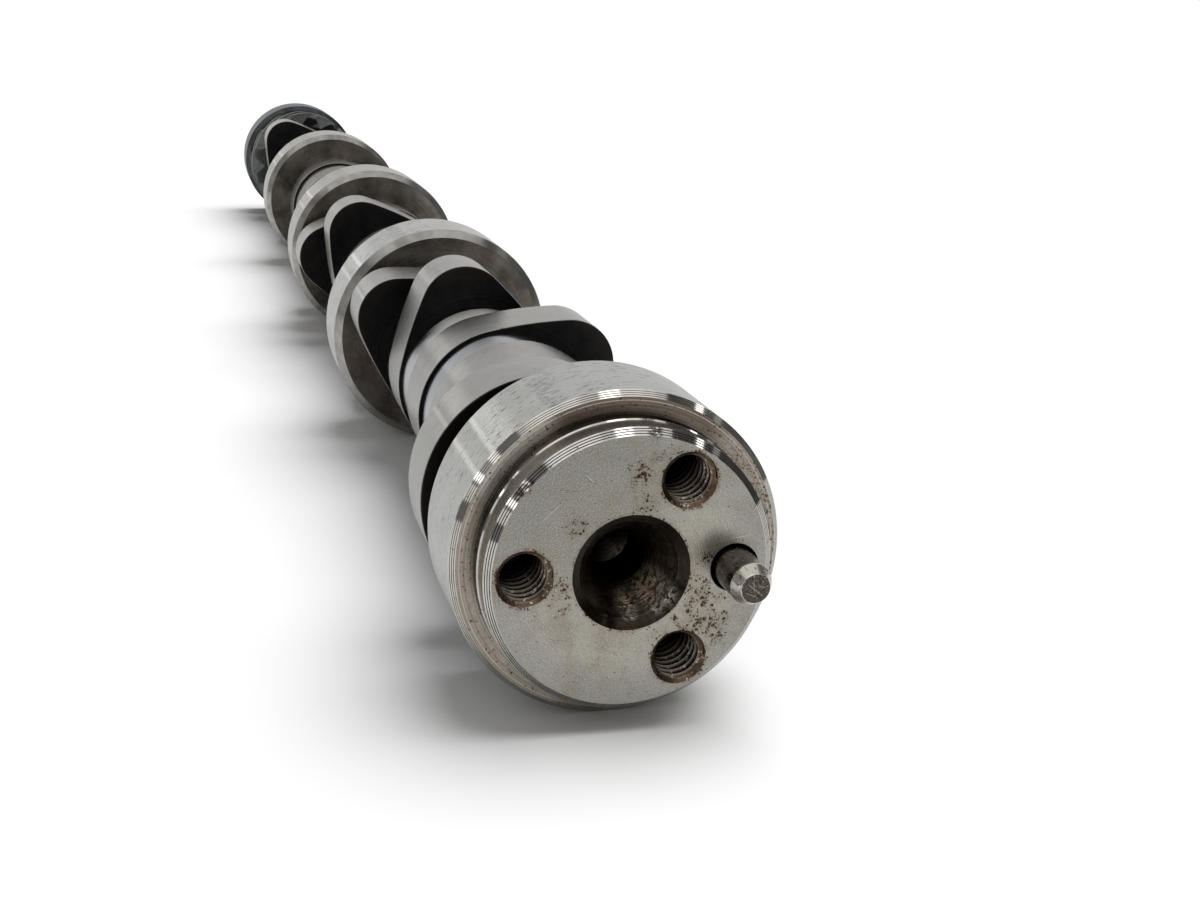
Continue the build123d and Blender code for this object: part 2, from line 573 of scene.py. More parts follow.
# The taper meets the pin's side over a softened corner
corner_start = 0.1
corner_drop = 0.05
corner_end = 0.15
shank_radius = dowel_shank_radius - shank_clearance
dowel = turn(
    "sprocket_dowel",
    [
        (-dowel_projection, dowel_tip_radius - dowel_edge),
        (-dowel_projection + dowel_edge, dowel_tip_radius),
        (taper_end - corner_start, dowel_radius - corner_drop),
        (taper_end + corner_end, dowel_radius),
        (-dowel_shoulder, dowel_radius),
        (dowel_radius - dowel_shank_radius - dowel_shoulder, shank_radius),
        (dowel_seat_depth - dowel_end_gap, shank_radius),
    ],
    dowel_steps,
)
place_at(dowel, dowel_place[0], 0, dowel_place[1])

# ---------- Finishes ----------


def paint(hex_colour):
    """Linear colour from an sRGB hex value"""
    channels = [int(hex_colour[i : i + 2], 16) / 255 for i in (1, 3, 5)]
    return (
        *(c / 12.92 if c <= 0.04045 else ((c + 0.055) / 1.055) ** 2.4 for c in channels),
        1.0,
    )


def add_node(tree, kind, inputs=None, output=0, **settings):
    """Adds one node with its settings and gives the output that is asked for; each input is a
    value or the socket that feeds it"""
    made = tree.nodes.new(kind)
    for setting, value in settings.items():
        setattr(made, setting, value)
    for socket, value in (inputs or {}).items():
        if isinstance(value, bpy.types.NodeSocket):
            tree.links.new(value, made.inputs[socket])
        else:
            made.inputs[socket].default_value = value
    return made.outputs[output]


def per_mm(size):
    """Texture scale that gives a pattern this many millimetres across"""
    return 1000.0 / size


def specks(tree, place, size, level, fade=0.03, detail=2.0, least=0.0):
    """Mask of irregular specks or clouds of about this size in millimetres, rarer at a higher
    level and nowhere weaker than the least"""
    grain = add_node(
        tree,
        "ShaderNodeTexNoise",
        {"Vector": place, "Scale": per_mm(size), "Detail": detail, "Roughness": 0.6},
    )
    span = {"From Min": level, "From Max": level + fade, "To Min": least}
    return add_node(tree, "ShaderNodeMapRange", {"Value": grain, **span})


def new_finish(name, colour, shade, roughness, cloud_mm=4.0, anisotropy=0.0):
    """Bare steel with soft clouds from a colour to its shade; constant values sit on the shader.
    The tangent runs round the shaft and is turned a quarter, so glints cross the tool lines."""
    finish = bpy.data.materials.new(name)
    finish.use_nodes = True
    tree = finish.node_tree
    shader = tree.nodes["Principled BSDF"]
    shader.inputs["Metallic"].default_value = 1.0
    shader.inputs["Roughness"].default_value = roughness
    place = add_node(tree, "ShaderNodeTexCoord", output="Object")
    clouds = specks(tree, place, cloud_mm, 0.35, 0.3, detail=4.0)
    tone = add_node(
        tree,
        "ShaderNodeMix",
        {"Factor": clouds, 6: paint(colour), 7: paint(shade)},
        output=2,
        data_type="RGBA",
    )
    if anisotropy:
        shader.inputs["Anisotropic"].default_value = anisotropy
        shader.inputs["Anisotropic Rotation"].default_value = 0.25
        round_it = add_node(tree, "ShaderNodeTangent", direction_type="RADIAL", axis="Y")
        tree.links.new(round_it, shader.inputs["Tangent"])
    return finish, tree, shader, place, tone


def distance_from_axis(tree, place):
    """Distance from the shaft's axis, in millimetres"""
    flat = add_node(
        tree, "ShaderNodeVectorMath", {0: place, 1: (1000.0, 0.0, 1000.0)}, operation="MULTIPLY"
    )
    return add_node(tree, "ShaderNodeVectorMath", {0: flat}, output="Value", operation="LENGTH")


def distance_back(tree, place):
    """Distance back from the nose face, in millimetres"""
    back = add_node(tree, "ShaderNodeSeparateXYZ", {"Vector": place}, output="Y")
    return add_node(tree, "ShaderNodeMath", {0: back, 1: 1000.0}, operation="MULTIPLY")


def tool_lines(tree, distance, spacing):
    """Uneven turned or ground lines at about this spacing in millimetres. Ground lines are
    really finer than any spacing used here; they are drawn coarser so that they can be seen"""
    count = add_node(tree, "ShaderNodeMath", {0: distance, 1: 1 / spacing}, operation="MULTIPLY")
    lines = add_node(
        tree,
        "ShaderNodeTexNoise",
        {"W": count, "Scale": 1.0, "Detail": 3.0, "Roughness": 0.7},
        noise_dimensions="1D",
    )
    return add_node(tree, "ShaderNodeMapRange", {"Value": lines, "From Min": 0.3, "From Max": 0.7})


def round_patches(tree, place, patches):
    """Mask that is strongest within round patches seen along the shaft and fades round them;
    each patch is x, z, radius and fade in millimetres"""
    flat = add_node(
        tree, "ShaderNodeVectorMath", {0: place, 1: (1000.0, 0.0, 1000.0)}, operation="MULTIPLY"
    )
    strongest = 0.0
    for x, z, radius, fade in patches:
        reach = add_node(
            tree,
            "ShaderNodeVectorMath",
            {0: flat, 1: (x, 0.0, z)},
            output="Value",
            operation="DISTANCE",
        )
        patch = add_node(
            tree,
            "ShaderNodeMapRange",
            {
                "Value": reach,
                "From Min": radius,
                "From Max": radius + fade,
                "To Min": 1.0,
                "To Max": 0.0,
            },
            interpolation_type="SMOOTHSTEP",
        )
        strongest = add_node(tree, "ShaderNodeMath", {0: patch, 1: strongest}, operation="MAXIMUM")
    return strongest


def lay_coats(tree, shader, tone, coats):
    """Lays each coat over the tone through its mask and at its strength, up to the shader"""
    for mask, strength, colour in coats:
        amount = add_node(tree, "ShaderNodeMath", {0: mask, 1: strength}, operation="MULTIPLY")
        tone = add_node(
            tree,
            "ShaderNodeMix",
            {"Factor": amount, 6: tone, 7: paint(colour)},
            output=2,
            data_type="RGBA",
        )
    tree.links.new(tone, shader.inputs["Base Color"])


def work_surface(tree, shader, pattern, smooth, rough, depth):
    """Gloss from smooth to rough and a relief this deep in millimetres, both from one pattern"""
    gloss = add_node(
        tree, "ShaderNodeMapRange", {"Value": pattern, "To Min": smooth, "To Max": rough}
    )
    relief = add_node(tree, "ShaderNodeBump", {"Height": pattern, "Distance": mm(depth)})
    tree.links.new(gloss, shader.inputs["Roughness"])
    tree.links.new(relief, shader.inputs["Normal"])


def rust_dots(tree, place, wet, spacing):
    """Mask of scattered dots about this many millimetres apart, larger where it is wetter"""
    ragged = add_node(
        tree,
        "ShaderNodeTexNoise",
        {"Vector": place, "Scale": per_mm(spacing * 0.7), "Detail": 1.0},
        output="Color",
    )
    shifted = add_node(
        tree,
        "ShaderNodeVectorMath",
        {0: ragged, 1: (mm(spacing),) * 3, 2: place},
        operation="MULTIPLY_ADD",
    )
    cells = add_node(
        tree, "ShaderNodeTexVoronoi", {"Vector": shifted, "Scale": per_mm(spacing)}
    ).node.outputs
    chance = add_node(tree, "ShaderNodeSeparateColor", {"Color": cells["Color"]})
    size = add_node(tree, "ShaderNodeMath", {0: chance, 1: wet}, operation="MULTIPLY")
    inside = add_node(tree, "ShaderNodeMath", {0: size, 1: cells["Distance"]}, operation="SUBTRACT")
    return add_node(
        tree, "ShaderNodeMapRange", {"Value": inside, "From Min": 0.0, "From Max": 0.15}
    )


def scratches(tree, place, marks):
    """Mask of straight scratches; each mark is its two ends and its width in millimetres"""
    strongest = 0.0
    for x0, z0, x1, z1, width in marks:
        laid = add_node(
            tree,
            "ShaderNodeMapping",
            {
                "Vector": place,
                "Location": (mm((x0 + x1) / 2), 0.0, mm((z0 + z1) / 2)),
                "Rotation": (0.0, -atan2(z1 - z0, x1 - x0), 0.0),
                "Scale": (mm(hypot(x1 - x0, z1 - z0) / 2), 1.0, mm(width / 2)),
            },
            vector_type="TEXTURE",
        )
        reach = add_node(tree, "ShaderNodeVectorMath", {0: laid}, operation="ABSOLUTE")
        sides = add_node(tree, "ShaderNodeSeparateXYZ", {"Vector": reach}).node.outputs
        edge = add_node(tree, "ShaderNodeMath", {0: sides["X"], 1: sides["Z"]}, operation="MAXIMUM")
        mark = add_node(
            tree,
            "ShaderNodeMapRange",
            {"Value": edge, "From Min": 0.5, "From Max": 1.0, "To Min": 1.0, "To Max": 0.0},
        )
        strongest = add_node(tree, "ShaderNodeMath", {0: mark, 1: strongest}, operation="MAXIMUM")
    return strongest


# Places on the nose face where rust has started, in millimetres: x, z, radius and fade
rust_patches = [
    (9.6, -5.0, 2.4, 3.6),
    (10.4, -8.6, 2.6, 3.4),
    (4.4, -9.8, 0.4, 2.2),
    (-10.3, -1.9, 1.0, 2.2),
    (-9.8, -4.6, 0.4, 1.8),
    (1.2, 9.8, 0.8, 1.8),
    (0.6, 13.8, 1.0, 2.2),
    (2.9, 15.6, 0.7, 1.6),
    (5.4, 16.8, 0.2, 1.6),
    (10.2, 1.4, 0.4, 1.6),
    (-8.0, 6.8, 0.2, 2.4),
    (-14.9, 12.2, 0.2, 1.0),
    (2.0, 19.2, 0.3, 1.2),
    (0, 0, nose_centre_mouth, 0.7),
]
rust_patches += [(x, z, bolt_mouth_radius, 0.8) for x, z in bolt_places]
# Each scratch is its two ends, x and z, and its width
scratch_marks = (
    (-7.36, 14.11, -5.92, 12.77, 0.13),
    (-6.0, 12.7, -5.6, 13.0, 0.26),
    (-10.66, 12.23, -7.5, 11.81, 0.1),
    (-7.5, 11.81, -6.3, 12.5, 0.08),
    (-2.4, -11.2, -1.2, -12.1, 0.1),
    (10.4, 5.2, 12.6, 6.1, 0.09),
)
bright_scratches = (
    (-7.2, 14.2, -5.8, 12.9, 0.1),
    (4.6, 8.9, 7.4, 9.9, 0.08),
    (12.2, 4.0, 17.0, 4.6, 0.1),
    (-12.9, 7.8, -9.6, 10.8, 0.07),
)


def make_turned_face():
    # Fine-turned steel, satin: faint rings, cooler outside the washer's seat, with a thin
    # brown film that breaks into fine dark specks of rust round the holes
    finish, tree, shader, place, tone = new_finish(
        "fine_turned_steel", "#a19e95", "#928e85", 0.32, 5.0, 0.35
    )
    from_axis = distance_from_axis(tree, place)
    rings = tool_lines(tree, from_axis, 0.2)
    outside = add_node(
        tree, "ShaderNodeMapRange", {"Value": from_axis, "From Min": 13.6, "From Max": 16.4}
    )
    # The lapped grain is finer than this; it is drawn coarse enough to show
    pale_sand = specks(tree, place, 0.22, 0.5, 0.16)
    grey_sand = specks(tree, place, 0.3, 0.55, 0.1)
    stain = specks(tree, place, 5.0, 0.48, 0.2)
    wet = round_patches(tree, place, rust_patches)
    clumped = specks(tree, place, 1.6, 0.35, 0.3, detail=3.0, least=0.15)
    damp = add_node(tree, "ShaderNodeMath", {0: wet, 1: clumped}, operation="MULTIPLY")
    # A few dots of rust have started everywhere
    anywhere = add_node(
        tree, "ShaderNodeMath", {0: damp, 1: 0.65, 2: 0.25}, operation="MULTIPLY_ADD"
    )
    coats = [
        (outside, 0.6, "#8b8c88"),
        # Painted shade: the face is darker towards its upper left, where it mirrors less light
        (round_patches(tree, place, [(-9, 13, 6, 15)]), 0.6, "#6f6f6a"),
        (rings, 0.3, "#858077"),
        (stain, 0.45, "#857a6b"),
        (pale_sand, 0.4, "#c2bfb6"),
        (grey_sand, 0.4, "#6f6b63"),
        (damp, 0.45, "#6f5f4c"),
        (scratches(tree, place, scratch_marks), 0.55, "#453d35"),
        (scratches(tree, place, bright_scratches), 0.5, "#dedbd3"),
        (rust_dots(tree, place, damp, 0.3), 0.8, "#3d2c1e"),
        (rust_dots(tree, place, anywhere, 0.48), 0.9, "#2a1c12"),
    ]
    lay_coats(tree, shader, tone, coats)
    work_surface(tree, shader, rings, 0.2, 0.32, 0.003)
    return finish


def make_bevel():
    # Form-cut bevel, nearly a mirror; its grooves are in the mesh. A few rusty nicks dull it
    finish, tree, shader, place, tone = new_finish(
        "form_cut_bevel", "#bdbab5", "#b0ada7", 0.09, 2.0
    )
    rust_spots = round_patches(
        tree, place, [(-15.3, 11.9, 0.7, 0.9), (-14.4, 12.9, 0.4, 0.7), (2.3, 19.6, 0.6, 0.9)]
    )
    spotted = add_node(
        tree,
        "ShaderNodeMath",
        {0: rust_spots, 1: specks(tree, place, 0.5, 0.42, 0.05)},
        operation="MULTIPLY",
    )
    nicks = specks(tree, place, 0.5, 0.69)
    lay_coats(tree, shader, tone, [(nicks, 0.8, "#4a3c30"), (spotted, 0.85, "#3d2a1c")])
    work_surface(tree, shader, nicks, 0.08, 0.4, 0.002)
    return finish


def make_groove_shade():
    # Painted shade: the grooves of the form-cut bevels are painted near black, as fine dark lines
    # between the bright lands
    finish, tree, shader, place, tone = new_finish("shaded_groove", "#211e1b", "#151311", 0.4, 2.0)
    lay_coats(tree, shader, tone, [(specks(tree, place, 0.8, 0.6, 0.1), 0.5, "#4a3c30")])
    return finish


def make_hub_side():
    # Turned hub, bright between its lathe lines
    finish, tree, shader, place, tone = new_finish(
        "turned_hub", "#a7a39c", "#969189", 0.18, 3.0, 0.4
    )
    lines = tool_lines(tree, distance_back(tree, place), 0.2)
    pits = specks(tree, place, 0.5, 0.68)
    lay_coats(tree, shader, tone, [(lines, 0.3, "#7a756d"), (pits, 0.85, "#33281f")])
    work_surface(tree, shader, lines, 0.14, 0.26, 0.003)
    return finish


def make_thrust_face():
    # Ground thrust face, brownish: nearly a mirror, ringed, with pits of rust; painted shade
    # over its top and a painted reflection at its upper left
    finish, tree, shader, place, tone = new_finish(
        "ground_thrust_face", "#98928a", "#857e74", 0.16, 3.0, 0.7
    )
    from_axis = distance_from_axis(tree, place)
    rings = tool_lines(tree, from_axis, 0.3)
    pits = specks(tree, place, 0.45, 0.64)
    rusted = add_node(
        tree,
        "ShaderNodeMath",
        {
            0: round_patches(tree, place, [(20, 9, 3, 8), (22, -1, 2, 6)]),
            1: specks(tree, place, 0.4, 0.55, 0.05),
        },
        operation="MULTIPLY",
    )
    # Painted shade: darker over the top of the face
    top_shade = round_patches(tree, place, [(2, 24, 11, 5)])
    line = add_node(tree, "ShaderNodeMath", {0: from_axis, 1: 22.4, 2: 0.07}, operation="COMPARE")
    coats = [
        (rings, 0.4, "#5c544a"),
        (top_shade, 0.75, "#50473e"),
        # Painted reflection: a pale patch at the upper left of the face
        (round_patches(tree, place, [(-16, 16, 4, 5)]), 0.2, "#dedad3"),
        (line, 0.45, "#c9c0b2"),
        (pits, 0.9, "#33241a"),
        (rusted, 0.8, "#3a3020"),
    ]
    lay_coats(tree, shader, tone, coats)
    work_surface(tree, shader, rings, 0.1, 0.24, 0.003)
    return finish


def make_ground(name, colour, shade, roughness, nick_level):
    # Cylindrically ground steel: satin, hair-fine lines round it that draw glints out along
    # the shaft, pale streaks painted as highlights, short dark handling nicks, and a tone
    # that darkens towards the rear
    finish, tree, shader, place, tone = new_finish(name, colour, shade, roughness, 6.0, 0.85)
    back = distance_back(tree, place)
    lines = tool_lines(tree, back, 0.12)
    # Darker and warmer towards the rear
    darker_to_rear = add_node(
        tree, "ShaderNodeMapRange", {"Value": back, "From Min": 170.0, "From Max": 300.0}
    )
    squeezed = add_node(
        tree, "ShaderNodeVectorMath", {0: place, 1: (0.35, 1.6, 0.35)}, operation="MULTIPLY"
    )
    nicks = specks(tree, squeezed, 0.6, nick_level, 0.02)
    # Painted highlights: pale streaks along the shaft, standing in for mirrored windows
    painted_streaks = round_patches(
        tree,
        place,
        [(*point_on(journal_radius, angle), 0.05, 0.7) for angle in (148, 139)],
    )
    knocked = add_node(
        tree,
        "ShaderNodeMath",
        {
            0: round_patches(tree, place, [(*point_on(journal_radius, 113), 1.0, 1.0)]),
            1: specks(tree, squeezed, 0.5, 0.52, 0.04),
        },
        operation="MULTIPLY",
    )
    coats = [
        (lines, 0.3, "#83817d"),
        (darker_to_rear, 0.5, "#7a7468"),
        (painted_streaks, 0.38, "#e6e5e1"),
        (nicks, 0.95, "#24211e"),
        (knocked, 0.6, "#38342f"),
    ]
    lay_coats(tree, shader, tone, coats)
    work_surface(tree, shader, lines, roughness - 0.05, roughness + 0.07, 0.002)
    return finish


def make_plain_bevel():
    # Plain turned bevel of a middle journal: satin, so that it shows only soft lights
    finish, tree, shader, place, tone = new_finish(
        "satin_bevel", "#a3a29e", "#8b8984", 0.3, 3.0, 0.6
    )
    lay_coats(tree, shader, tone, [(specks(tree, place, 5.0, 0.5, 0.15), 0.4, "#67635c")])
    return finish


def make_dark_rear():
    # Rear journal, dark and dull
    finish, tree, shader, place, tone = new_finish(
        "dark_rear_journal", "#55585a", "#34373a", 0.38, 5.0, 0.5
    )
    lines = tool_lines(tree, distance_back(tree, place), 0.3)
    lay_coats(tree, shader, tone, [(lines, 0.4, "#2a2c2e")])
    return finish


def make_dark_side():
    # Lobe side left as forged and phosphated, oiled black, rubbed brown near its rim
    finish, tree, shader, place, tone = new_finish(
        "black_phosphate_side", "#1f1f20", "#131314", 0.4, 2.5, 0.5
    )
    rim = add_node(
        tree,
        "ShaderNodeMapRange",
        {"Value": distance_from_axis(tree, place), "From Min": 19.5, "From Max": 23.6},
    )
    streaks = tool_lines(tree, distance_from_axis(tree, place), 0.5)
    lay_coats(tree, shader, tone, [(rim, 0.35, "#40372d"), (streaks, 0.4, "#2b2a29")])
    return finish


def make_journal_side():
    # Turned journal side: dull steel under oil that has dried black, brown and reddish
    finish, tree, shader, place, tone = new_finish(
        "turned_journal_side", "#948e86", "#544f49", 0.28, 7.0, 0.8
    )
    rings = tool_lines(tree, distance_from_axis(tree, place), 0.35)
    black_oil = specks(tree, place, 18.0, 0.36, 0.3)
    brown_oil = specks(tree, place, 12.0, 0.42, 0.3)
    coats = [
        (rings, 0.35, "#47413b"),
        (brown_oil, 0.45, "#5a4a3f"),
        (black_oil, 0.55, "#2a2725"),
    ]
    lay_coats(tree, shader, tone, coats)
    work_surface(tree, shader, rings, 0.22, 0.36, 0.004)
    return finish


def make_barrel():
    # Polished barrel between the lobes: a long mirror broken by lathe lines, with a painted
    # highlight over its top just behind the front lobe, where it is also rougher
    finish, tree, shader, place, tone = new_finish(
        "polished_barrel", "#85878a", "#6f7276", 0.14, 9.0, 0.4
    )
    back = distance_back(tree, place)
    lines = tool_lines(tree, back, 0.5)
    # Painted highlight: a pale band over the barrel's top behind the front lobe
    barrel_highlight = add_node(
        tree,
        "ShaderNodeMath",
        {0: back, 1: first_cylinder + lobe_width / 2 + 3.5, 2: 3.6},
        operation="COMPARE",
    )
    barrel_highlight = add_node(
        tree,
        "ShaderNodeMath",
        {0: barrel_highlight, 1: round_patches(tree, place, [(*point_on(barrel_radius, 106), 3.0, 8.0)])},
        operation="MULTIPLY",
    )
    lay_coats(tree, shader, tone, [(lines, 0.45, "#6b6d71"), (barrel_highlight, 0.9, "#e4e3df")])
    rougher = add_node(
        tree, "ShaderNodeMath", {0: barrel_highlight, 1: 2.5, 2: lines}, operation="MULTIPLY_ADD"
    )
    gloss = add_node(
        tree, "ShaderNodeMapRange", {"Value": rougher, "To Min": 0.1, "To Max": 0.22}, clamp=False
    )
    tree.links.new(gloss, shader.inputs["Roughness"])
    return finish


def make_shaded_hole():
    # Lathe centre and dowel seat: steel ringed by the tool, brown with rust near the mouth,
    # painted dark as shade on the mouth's bevel and further in, with a painted glint low on the
    # right
    finish, tree, shader, place, tone = new_finish(
        "shaded_lathe_centre", "#7d7468", "#51493e", 0.22, 1.6, 0.6
    )
    back = distance_back(tree, place)
    rings = tool_lines(tree, back, 0.22)
    rust = specks(tree, place, 1.4, 0.5, 0.12)
    dirt = specks(tree, place, 0.6, 0.5, 0.1)
    # Painted glint: a pale streaky patch low on the right of the cone
    glint_patch = round_patches(tree, place, [(3.8, -3.4, 0.9, 2.6), (0.4, -5.6, 0.4, 1.6)])
    bright = add_node(
        tree,
        "ShaderNodeMath",
        {0: glint_patch, 1: specks(tree, place, 0.6, 0.44, 0.1)},
        operation="MULTIPLY",
    )
    # Painted shade: darker further into the hole
    inside = add_node(tree, "ShaderNodeMapRange", {"Value": back, "From Min": 5.0, "From Max": 7.5})
    # Painted shade: the bevel at the mouth is darkened to match the shaded wall
    mouth = add_node(
        tree,
        "ShaderNodeMapRange",
        {"Value": back, "From Min": 1.2, "From Max": 2.0, "To Min": 1.0, "To Max": 0.0},
    )
    coats = [
        (rings, 0.55, "#2f2922"),
        (rust, 0.5, "#55402d"),
        (mouth, 0.9, "#241e18"),
        (dirt, 0.6, "#1d1813"),
        (bright, 0.75, "#e6dccb"),
        (inside, 0.93, "#14110e"),
    ]
    lay_coats(tree, shader, tone, coats)
    work_surface(tree, shader, rings, 0.14, 0.32, 0.006)
    return finish


def make_rusty_mouth():
    # Tapped hole: rust with bare flecks on its countersink, painted near black further in as shade
    finish, tree, shader, place, tone = new_finish(
        "rusted_countersink", "#8f7b66", "#54402f", 0.36, 0.7
    )
    bare = specks(tree, place, 0.5, 0.57, 0.12)
    # Painted shade: near black further into the hole
    inside = add_node(
        tree,
        "ShaderNodeMapRange",
        {"Value": distance_back(tree, place), "From Min": 0.65, "From Max": 1.2},
    )
    lay_coats(tree, shader, tone, [(bare, 0.6, "#d2cabc"), (inside, 0.97, "#0e0b09")])
    return finish


def make_thread_steel():
    # Tapped thread: worn bright along its crests and painted lighter there as glints, black with
    # oil and a little rust at its roots, and painted darker further in as shade
    finish, tree, shader, place, tone = new_finish(
        "oiled_and_shaded_thread", "#2a231c", "#15110e", 0.3, 0.9
    )
    # Crests lighter for wear and as painted glints
    crests = [(x, z, tap_drill_radius + 0.05, 0.3) for x, z in bolt_places]
    crest = round_patches(tree, place, crests)
    back = distance_back(tree, place)
    near_mouth = add_node(
        tree,
        "ShaderNodeMapRange",
        {"Value": back, "From Min": 0.6, "From Max": 2.4, "To Min": 1.0, "To Max": 0.0},
    )
    rust = specks(tree, place, 0.6, 0.58, 0.1)
    # Painted shade: darker further into the hole
    inside = add_node(
        tree, "ShaderNodeMapRange", {"Value": back, "From Min": 1.0, "From Max": 10.0}
    )
    coats = [
        (crest, 0.9, "#7b736a"),
        (near_mouth, 0.6, "#6d5c4b"),
        (rust, 0.6, "#4f3928"),
        (specks(tree, place, 0.5, 0.6, 0.06), 0.5, "#d6cfc3"),
        (inside, 0.95, "#0f0c0a"),
    ]
    lay_coats(tree, shader, tone, coats)
    return finish


def make_gear_steel():
    # Hobbed teeth: steel darkened by oil, with feed marks across the flanks
    finish, tree, shader, place, tone = new_finish("hobbed_teeth", "#5d5f61", "#46484a", 0.3, 2.0)
    lines = tool_lines(tree, distance_back(tree, place), 0.6)
    lay_coats(tree, shader, tone, [(lines, 0.4, "#55524d")])
    work_surface(tree, shader, lines, 0.25, 0.4, 0.01)
    return finish


def make_pin_steel():
    # Hardened dowel, black-oxided and scuffed; rubbed bright where the sprocket slides on, with a
    # painted highlight round the edge of its end
    finish, tree, shader, place, tone = new_finish("hardened_pin", "#7b766f", "#625d56", 0.3, 1.4)
    back = distance_back(tree, place)
    rubbed = add_node(
        tree,
        "ShaderNodeMapRange",
        {"Value": back, "From Min": -6.3, "From Max": -6.0, "To Min": 1.0, "To Max": 0.0},
    )
    end = add_node(
        tree,
        "ShaderNodeMapRange",
        {"Value": back, "From Min": -7.93, "From Max": -7.87, "To Min": 1.0, "To Max": 0.0},
    )
    lengthwise = add_node(
        tree, "ShaderNodeVectorMath", {0: place, 1: (1.4, 0.4, 1.4)}, operation="MULTIPLY"
    )
    scuffs = specks(tree, lengthwise, 0.6, 0.56, 0.08)
    pale_scuffs = specks(tree, lengthwise, 0.45, 0.6, 0.06)
    # Painted highlight: a pale line round the edge of the end
    rim = add_node(
        tree,
        "ShaderNodeMath",
        {0: back, 1: -dowel_projection + dowel_edge, 2: 0.09},
        operation="COMPARE",
    )
    x, z = dowel_place
    end_scratches = add_node(
        tree,
        "ShaderNodeMath",
        {
            0: end,
            1: scratches(
                tree,
                place,
                (
                    (x - 1.4, z + 0.9, x + 1.2, z - 1.2, 0.14),
                    (x - 1.5, z - 0.4, x + 0.4, z - 1.3, 0.1),
                    (x - 0.4, z + 1.6, x - 0.2, z - 0.6, 0.1),
                    (x + 0.2, z + 0.5, x + 1.5, z + 0.1, 0.1),
                ),
            ),
        },
        operation="MULTIPLY",
    )
    coats = [
        (rubbed, 0.85, "#c4c0b7"),
        (end, 1.0, "#4b463f"),
        (scuffs, 0.65, "#2c261f"),
        (pale_scuffs, 0.5, "#b9b4aa"),
        (rim, 0.7, "#dad6cd"),
        (end_scratches, 0.6, "#a8a196"),
    ]
    lay_coats(tree, shader, tone, coats)
    work_surface(tree, shader, scuffs, 0.26, 0.5, 0.02)
    return finish


turned_face = make_turned_face()
form_bevel = make_bevel()
hub_side = make_hub_side()
thrust_face = make_thrust_face()
ground_journal = make_ground("ground_journal", "#a9a9a6", "#9f9f9b", 0.24, 0.625)
ground_lobe = make_ground("ground_lobe", "#8c8b87", "#81807c", 0.22, 0.68)
plain_bevel = make_plain_bevel()
dark_rear = make_dark_rear()
dark_side = make_dark_side()
journal_side = make_journal_side()
barrel = make_barrel()
shaded_hole = make_shaded_hole()
rusty_mouth = make_rusty_mouth()
gear_steel = make_gear_steel()
thread_steel = make_thread_steel()
groove_shade = make_groove_shade()
pin_steel = make_pin_steel()

shaft_finishes = [
    turned_face,
    form_bevel,
    hub_side,
    thrust_face,
    ground_journal,
    ground_lobe,
    dark_side,
    journal_side,
    barrel,
    shaded_hole,
    rusty_mouth,
    gear_steel,
    groove_shade,
    plain_bevel,
    dark_rear,
]
journal_spans = [(hub_length, front_journal_width), (rear_journal_front, rear_journal_width)]
journal_spans += [(front, journal_width) for front in middle_journal_fronts]
# Limits that tell the faces apart: in millimetres, and last two parts of a face's normal
slack = 0.01
skin = 0.05
face_depth = 0.001
holes_end = bolt_depth + 3
rear_centre_start = shaft_end - rear_centre_depth - 1
flat_normal = 0.9
groove_tilt = 0.1


def finish_at(centre, normal):
    """The finish that the machining left on a face of the shaft, from its place and normal"""
    x, back, z = (part * 1000 for part in centre)
    radius = hypot(x, z)
    flat = abs(normal.y) > flat_normal
    below_face = face_depth < back < holes_end
    if below_face and radius < nose_centre_mouth:
        return shaded_hole
    for hole_x, hole_z in bolt_places:
        if below_face and hypot(x - hole_x, z - hole_z) < bolt_mouth_radius:
            return rusty_mouth
    if below_face and hypot(x - dowel_place[0], z - dowel_place[1]) < dowel_mouth_radius:
        return shaded_hole
    if back < face_depth:
        return turned_face
    in_groove = abs(normal.y + cos(pi / 4)) > groove_tilt
    if back < hub_bevel + slack:
        # The bevel's groove faces take the finish painted near black as shade
        return groove_shade if in_groove else form_bevel
    if back < hub_length - slack:
        return hub_side if in_groove else form_bevel
    if back < hub_length + slack:
        return thrust_face
    on_gear = gear_front - slack < back < gear_front + gear_width + slack
    if on_gear and radius > barrel_radius + 2 * skin:
        return gear_steel
    if back > shaft_end - slack or (back > rear_centre_start and radius < rear_centre_mouth):
        return dark_rear
    on_journal = any(front - slack < back < front + width + slack for front, width in journal_spans)
    if flat:
        return journal_side if on_journal else dark_side
    if radius < barrel_radius + skin:
        return barrel
    if on_journal and back > rear_journal_front - slack:
        return dark_rear
    if on_journal and abs(radius - journal_radius) < skin:
        return ground_journal
    if on_journal and back < hub_length + front_journal_bevel + slack:
        # The bevel's groove faces take the finish painted near black as shade
        return groove_shade if in_groove else form_bevel
    return plain_bevel if on_journal else ground_lobe


shaft.data.materials.clear()
for finish in shaft_finishes:
    shaft.data.materials.append(finish)
for face in shaft.data.polygons:
    face.material_index = shaft_finishes.index(finish_at(face.center, face.normal))

for piece in threads:
    piece.data.materials.clear()
    piece.data.materials.append(thread_steel)
dowel.data.materials.clear()
dowel.data.materials.append(pin_steel)

for piece, smooth_angle in ((shaft, 9), (dowel, 15), *((turns, 40) for turns in threads)):
    take(piece)
    bpy.ops.object.shade_smooth_by_angle(angle=radians(smooth_angle))
    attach(piece, "root")
for piece in (shaft, *threads):
    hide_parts("camshaft")
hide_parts("dowel_pin")

# ---------- Floor, light and camera ----------

bpy.ops.object.select_all(action="DESELECT")
bpy.ops.mesh.primitive_plane_add(size=30, location=(0, 0, -mm(journal_radius)))
floor = bpy.context.object
floor.name = "pale_floor"
